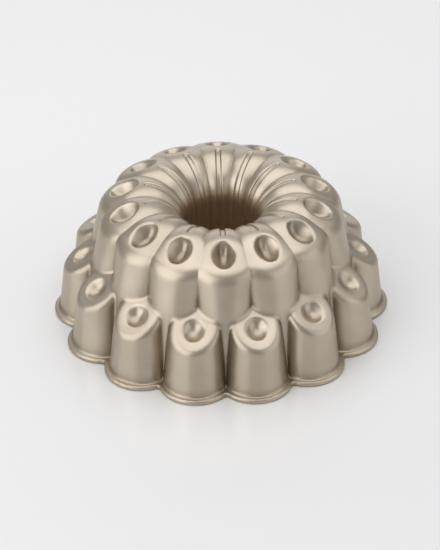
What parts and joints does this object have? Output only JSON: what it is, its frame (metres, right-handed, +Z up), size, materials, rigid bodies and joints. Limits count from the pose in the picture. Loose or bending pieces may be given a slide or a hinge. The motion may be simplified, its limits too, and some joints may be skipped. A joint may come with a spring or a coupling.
{
  "type": "fluted tube pan",
  "caption": "Cast fluted tube cake pan standing mouth down, with staggered tiers of rounded dented flutes, an open centre tube and a scalloped rim flange",
  "frame": {"origin": "centre of the rim plane, on the axis of the tube, at the base of the bounding box", "axes": "+Z up along the tube, pan standing mouth down; -Y through the ridge of the upper flute that faces the camera; +X to the right"},
  "size_m": [0.2524, 0.2478, 0.1048],
  "materials": {
    "coated_casting": "satin champagne-gold metallic release coating on cast aluminium"
  },
  "bodies": {
    "root": {"crown": "coated_casting", "upper_tier": "coated_casting", "lower_tier": "coated_casting", "centre_tube": "coated_casting", "rim_flange": "coated_casting"}
  },
  "joints": []
}
